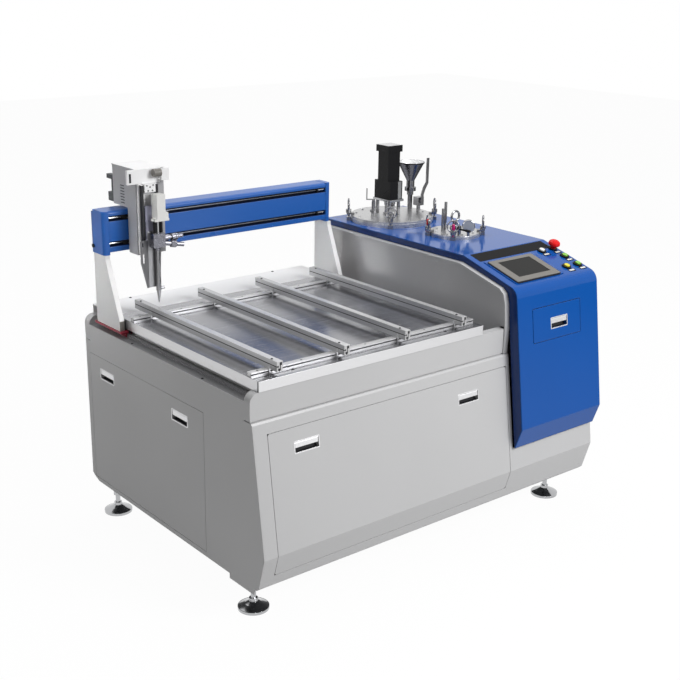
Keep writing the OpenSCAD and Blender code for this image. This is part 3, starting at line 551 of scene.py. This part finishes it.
def panel_details():
    """Black band, blank label plates, screen surround with a black band round its bezel as painted shade, and
    switches on the slanted panel.
    """
    plate("panel_band", "band_black", "base", on_slope(1196.5, 30), rounded(343, 50, 3), 0.0, 0.5)
    for k, (x, s) in enumerate(SWITCHES):
        label_at = on_slope(x, s + 24)
        plate(f"label_frame_{k}", "black_plastic", "base", label_at, rounded(30, 15, 2), 0.0, 1.0, bevel=0.3)
        plate(f"label_plate_{k}", "white_plastic", "base", label_at, rounded(23, 7.5, 0.8), 1.0, 1.3)
        turned(f"switch_ring_{k}", "black_plastic", "base", on_slope(x, s), [
            [(15.4, 0.1), (15.8, 0.8), (15.2, 4.8), (14.0, 5.8), (11.2, 5.9), (10.3, 5.2), (10.3, 3.0),
             (10.2, 3.0), (10.2, 0.1)]], 48)
    bezel_at, window = on_slope(1142.5, 143.5), rounded(149, 100, 1.5)
    hole = [(x + 3, y + 4.5) for x, y in window]
    plate("bezel_face", "bezel_grey", "base", bezel_at, rounded(205, 139, 5.2), 6.1, 7.0, hole, bevel=0.3)
    # Black band round the bezel's sides: painted shade
    plate("bezel_shade_band", "black_and_slot_shade", "base", bezel_at, rounded(210, 142, 6), 0.0, 6.1, hole, bevel=0.5)
    plate("screen_face", "screen", "base", on_slope(1145.5, 139), window, 5.9, 6.2)
    for k, node in {0: "white_button", 2: "green_button_1", 3: "yellow_button", 4: "green_button_2"}.items():
        turned(f"{node}_cap", FINISH[node], node, on_slope(*SWITCHES[k]),
               [[(9.3, 6), (9.3, 8.2), (8.4, 9.2), (6.5, 9.0), (0, 8.7)]])
    bm = bmesh.new()
    for a in range(0, 360, 20):
        turn = Matrix.Rotation(math.radians(a), 4, "Z")
        for v in add_box(bm, (18.2, -0.9, 17.5), (20.2, 0.9, 22.5)):
            v.co = turn @ v.co
    piece("stop_button_grips", bm, "red_plastic", "stop_button", on_slope(*SWITCHES[STOP_SWITCH]))


def beam_details():
    """Chrome ends on the dark guide rods as painted highlight, stops, navy in the slots as painted shade, and the
    carriage's bearing blocks.
    """
    # Chrome ends on the dark rods: painted highlight
    merged("lit_rod_ends", "chrome", "gantry",
           [(round_bar(4.75, x1 - x0), place(x0, ROD_Y, z, ry=90))
            for z in ROD_Z for x0, x1 in ((26.5, 62), (851.5, 882.5))])
    boxes("rod_stops", "black_paint", "gantry",
          [((843.6, ROD_Y - 8, z - 7), (851.5, ROD_Y + 7, z + 6)) for z in ROD_Z], bevel=1.0)
    # Navy sheets in the beam's slots: painted shade
    boxes("slot_shade_liners", "slot_shade_navy", "gantry", [
        ((SLOT_X[0], y0, z + z0), (SLOT_X[1], y1, z + z1)) for z in ROD_Z
        for y0, z0, y1, z1 in ((810.2, -8.7, 811.2, 7.7), (789.4, 7.3, 810.2, 7.9), (789.4, -8.9, 810.2, -8.3))])
    boxes("bearing_blocks", "black_paint", "carriage",
          [((76, ROD_Y - 8.5, z - 6.6), (90, ROD_Y + 7.5, z + 5.8)) for z in ROD_Z], bevel=1.0)


def leg_details():
    """Dark blocks at the foot of each leg, black gussets and foot ends as painted shade, and the end caps' black
    knobs.
    """
    boxes("leg_blocks", "bezel_grey", "gantry", [((x, 709.3, 691), (x + 16.3, 710.4, 721)) for x in (5.6, 887.1)])
    # Black gussets inside the legs: painted shade
    boxes("leg_gusset_shade", "black_paint", "gantry",
          [((x0, 714, 690.2), (x1, 726, 722)) for x0, x1 in ((22.1, 28.4), (880, 886.9))], bevel=0.5)
    # Black at the foot ends under the table's edge: painted shade
    boxes("foot_end_shade", "black_paint", "gantry",
          [((x0, 697.7, 683.7), (x1, 866.3, 690.3)) for x0, x1 in ((29, 40.3), (868.7, 880))])
    merged("cap_knobs", "black_plastic", "gantry",
           [(round_bar(6.4, 4.5), place(x, 853, 938, ry=90)) for x in (0.3, 904.2)], bevel=0.6)


def head_details():
    """Screws and linings of the carriage, black in its slot and louvre as painted shade, a lighter roof on its
    housing as painted light, stems and rings of the actuator and valve.
    """
    screws("head_plate_screws", "black_plastic", "carriage",
           [(x, 690, z) for x, z in ((108, 1141), (130, 1141), (119, 1136), (112, 1125), (127, 1125))], 2.6, 0.7,
           lambda *p: on_head(*p, rx=90))
    # Black in the head plate's slot: painted shade
    boxes("head_plate_slot_shade", "black_and_slot_shade", "carriage", [((55, 702.6, 1152), (62, 704.2, 1180))], on_head(), 0.8)
    boxes("rail_faces", "black_and_slot_shade", "carriage",
          [((x0, 691.6, 950.2), (x1, 705.2, 1142.8)) for x0, x1 in ((89.8, 96.2), (141.8, 148.2))], on_head())
    merged("actuator_stems", "black_plastic", "head",
           [(round_bar(5.3, 36.6), on_head(x, 669, 996.2)) for x in (118, 140)])
    merged("actuator_rod", "chrome", "head", [(round_bar(4.2, 36.6), on_head(129, 669, 996.2))])
    merged("fitting_rings", "frame_paint", "head",
           [(round_bar(r, 2.2), on_head(x, 672, 976, ry=90))
            for x, r in ((163, 9.2), (175.6, 9), (189, 11.4), (199, 6.4))])
    boxes("motor_connector", "black_plastic", "carriage",
          [((161.5, 692.5, 1187.2), (170.5, 703.5, 1189.6))], on_head(), 0.5)
    # Lighter paint on the housing's top than on its sides: painted light
    boxes("housing_lit_roof", "plate_paint", "carriage", [((80.2, 715.2, 1189.9), (183.8, 857.8, 1190.12))], on_head())
    # Black on the louvre: painted shade
    boxes("louvre_shade", "black_and_slot_shade", "carriage", [((84.05, 782, 1070), (84.6, 815, 1134))], on_head())


def lid_details():
    """Bolts of both lids, and the pressure gauge's face and rim."""
    bm = bmesh.new()
    for (cx, cy, r), rise, count in ((BIG_LID, 21, 12), (SMALL_LID, 13, 8)):
        for k in range(count):
            a = 2 * math.pi * (k + 0.5) / count
            add_hex(bm, 7, DECK + rise, DECK + rise + 3.2,
                    (cx + (r - 22) * math.cos(a), cy + (r - 22) * math.sin(a)))
    piece("lid_bolts", bm, "stainless", "base", place(0, 0, 0), 0.4)
    gauge_at = place(1176, 366, 938, rz=-38, rx=90)
    turned("gauge_face", "dial_face", "base", gauge_at, [[(19.6, 10.0), (19.6, 10.6), (0, 10.7)]])
    turned("gauge_rim", "chrome", "base", gauge_at,
           [[(21.6, 6), (21.8, 11.2), (20.6, 12), (19.4, 11.4), (19.2, 10.2)]], 48)


def clamp_at(lid, angle, reach=7):
    """Drawing x and y of a clamp, reach outside the lid's edge."""
    a = math.radians(angle)
    return lid[0] + (lid[2] + reach) * math.cos(a), lid[1] + (lid[2] + reach) * math.sin(a)


def clamp_details():
    """Ring handles of the clamps and the coloured grips of two of them."""
    bm = bmesh.new()
    for lid, angles, z in ((BIG_LID, (146, -34, 227, 47), 948), (SMALL_LID, (152, -41, 222), 938)):
        for angle in angles:
            add_torus(bm, 20.5, 2.4, on_lid(*clamp_at(lid, angle), z, angle))
    piece("clamp_rings", bm, "dark_steel", "base")
    for tag, angle, mat in (("front", 222, "magenta_plastic"), ("left", 152, "red_plastic")):
        turned(f"clamp_grip_{tag}", mat, "base", place(*clamp_at(SMALL_LID, angle), 0),
               [[(6.0, 903), (7.4, 905), (7.6, 912), (6.0, 919)],
                [(4.6, 926), (5.6, 928), (5.6, 944), (4.4, 947)]], 24)


def funnel_details():
    """Dark rolled rim of the funnel, and its inside in lighter steel than its outside as painted light."""
    plate("funnel_rim", "black_paint", "base", place(*FUNNEL, 0), circle(50.9), 1084.6, 1088.4, circle(49.6))
    # Lighter steel inside the funnel than outside: painted light
    bm = bmesh.new()
    bmesh.ops.create_cone(bm, cap_ends=False, segments=48, radius1=12.5 * MM, radius2=47.1 * MM, depth=65 * MM)
    piece("funnel_lit_inside", bm, "bright_steel_and_lit_copy", "base", place(*FUNNEL, 1056))


def drive_details():
    """Bright plate, posts, cap screws and cap plate of the stirrer drive."""
    x0, y0 = DRIVE
    boxes("gearbox_plate", "chrome", "base", [
        ((1180, 736.2, 972), (1196, 736.9, 1034)), ((1139.5, 733.5, 962.2), (1206.5, 828.5, 969.8))], bevel=0.4)
    merged("drive_posts", "dark_steel", "base",
           [(round_bar(6.4, 50.4), place(x0 + x, y0 + y, 911.5)) for x in (-22, 22) for y in (-33, 33)])
    screws("drive_cap_screws", "chrome", "base",
           [(x0 + x, y0 + y, 1166) for x in (-27, 27) for y in (-27, 27)], 3.6, 1.2)
    boxes("drive_cap_plate", "aluminium", "base", [((-31, -31, 0), (31, 31, 0.5))], place(x0, y0, 1166))


# Camera and studio

def camera():
    yaw, pitch, roll = (math.radians(v) for v in CAMERA_DEG)
    aim = Vector((math.sin(yaw) * math.cos(pitch), math.cos(yaw) * math.cos(pitch), -math.sin(pitch)))
    right = Vector((math.cos(yaw), -math.sin(yaw), 0))
    up = right.cross(aim)
    right, up = (right * math.cos(roll) + up * math.sin(roll), up * math.cos(roll) - right * math.sin(roll))
    data = bpy.data.cameras.new("camera")
    data.sensor_width = SENSOR
    data.lens = FOCAL_PX / FRAME_PX * SENSOR
    data.clip_end = 60.0
    obj = bpy.data.objects.new("camera", data)
    bpy.context.scene.collection.objects.link(obj)
    turn = Matrix((right, up, -aim)).transposed().to_4x4()
    obj.matrix_world = Matrix.Translation(in_frame(*CAMERA_AT)) @ turn
    bpy.context.scene.camera = obj


def area_light(name, at, target, size, power, spread_deg=None):
    data = bpy.data.lights.new(name, "AREA")
    data.shape = "DISK"
    data.size = size
    data.energy = power
    if spread_deg:
        data.spread = math.radians(spread_deg)
    obj = bpy.data.objects.new(name, data)
    bpy.context.scene.collection.objects.link(obj)
    obj.location = at
    obj.rotation_euler = (Vector(target) - Vector(at)).to_track_quat("-Z", "Y").to_euler()


def stage_piece(name, bm, surface):
    """Floor or card of the studio; surface makes its shader."""
    mesh = bpy.data.meshes.new(name)
    bm.to_mesh(mesh)
    bm.free()
    obj = bpy.data.objects.new(name, mesh)
    bpy.context.scene.collection.objects.link(obj)
    mat = bpy.data.materials.new(name)
    mat.use_nodes = True
    nodes, links = mat.node_tree.nodes, mat.node_tree.links
    nodes.clear()
    out = nodes.new("ShaderNodeOutputMaterial")
    links.new(surface(nodes, links), out.inputs["Surface"])
    mesh.materials.append(mat)


def seen_white(nodes, links):
    """1 for camera, glossy and transmission rays."""
    path = add_node(nodes, "LightPath").outputs
    first = math_node(nodes, links, "MAXIMUM", path["Is Camera Ray"], path["Is Glossy Ray"])
    return math_node(nodes, links, "MAXIMUM", first, path["Is Transmission Ray"])


def card_surface(nodes, links):
    """Black, and clear to the camera."""
    black = add_node(nodes, "BsdfDiffuse", Color=(0.03, 0.03, 0.03, 1))
    clear = add_node(nodes, "BsdfTransparent")
    path = add_node(nodes, "LightPath").outputs
    return mix_shaders(nodes, links, path["Is Camera Ray"], black.outputs[0], clear.outputs[0])


def floor_surface(nodes, links):
    """White to the camera but for the shadow; its mirror image fades towards the far right."""
    diffuse = add_node(nodes, "BsdfDiffuse", Color=(0.5, 0.5, 0.5, 1))
    glow = add_node(nodes, "Emission", Strength=1.04)
    shade = math_node(nodes, links, "MULTIPLY", seen_white(nodes, links), 0.93)
    seen = mix_shaders(nodes, links, shade, diffuse.outputs[0], glow.outputs[0])
    axes = add_node(nodes, "SeparateXYZ")
    links.new(add_node(nodes, "NewGeometry").outputs["Position"], axes.inputs[0])
    across = math_node(nodes, links, "MULTIPLY_ADD", axes.outputs["X"], 1.333, axes.outputs["Y"])
    fall = add_node(nodes, "MapRange", From_Min=0.3, From_Max=3.0, To_Min=1.0, To_Max=0.12)
    links.new(across, fall.inputs["Value"])
    mirrored = add_node(nodes, "Emission")
    links.new(fall.outputs["Result"], mirrored.inputs["Strength"])
    path = add_node(nodes, "LightPath").outputs
    return mix_shaders(nodes, links, path["Is Glossy Ray"], seen, mirrored.outputs[0])


def world_surface():
    """Weak white light that the camera and the metal see as plain white."""
    world = bpy.data.worlds.new("world")
    bpy.context.scene.world = world
    world.use_nodes = True
    nodes, links = world.node_tree.nodes, world.node_tree.links
    nodes.clear()
    out = nodes.new("ShaderNodeOutputWorld")
    ambient = add_node(nodes, "Background", Color=(1, 1, 1, 1), Strength=0.25)
    white = add_node(nodes, "Background", Color=(1, 1, 1, 1), Strength=1.0)
    links.new(mix_shaders(nodes, links, seen_white(nodes, links), ambient.outputs[0], white.outputs[0]),
              out.inputs["Surface"])


def studio():
    """Lamps, and two black cards that darken the shaded side and show in the metal."""
    area_light("key", (1.6, -4.4, 3.4), (0.0, 0.0, 0.6), 2.2, 225)
    area_light("top", (0.3, 0.9, 3.8), (0, 0.1, 0.6), 2.4, 48)
    area_light("left_fill", (-3.3, -0.3, 1.6), (-0.7, 0, 0.45), 1.6, 9)
    area_light("gantry_fill", (-3.4, 0.0, 2.2), (-0.6, 0.36, 1.0), 0.5, 0.33, 20)
    area_light("rear_fill", (-3.2, 1.3, 1.2), (0.19, 0.36, 0.82), 0.4, 0.3, 14)
    for name, (x0, y0), (x1, y1), top in (("flag_left", (-3.6, -1.6), (-3.6, 3.6), 2.0),
                                          ("flag_front", (-1.6, -5.2), (-3.4, -4.2), 1.5)):
        bm = bmesh.new()
        bm.faces.new([bm.verts.new(c) for c in ((x0, y0, 0), (x1, y1, 0), (x1, y1, top), (x0, y0, top))])
        stage_piece(name, bm, card_surface)
    world_surface()


def floor():
    bm = bmesh.new()
    bmesh.ops.create_grid(bm, x_segments=1, y_segments=1, size=12.0)
    stage_piece("floor", bm, floor_surface)


make_materials()
camera()
dress_frame()
cabinet_details()
table_details()
panel_details()
beam_details()
leg_details()
head_details()
lid_details()
clamp_details()
funnel_details()
drive_details()
studio()
floor()
bpy.context.scene.view_settings.view_transform = "Standard"
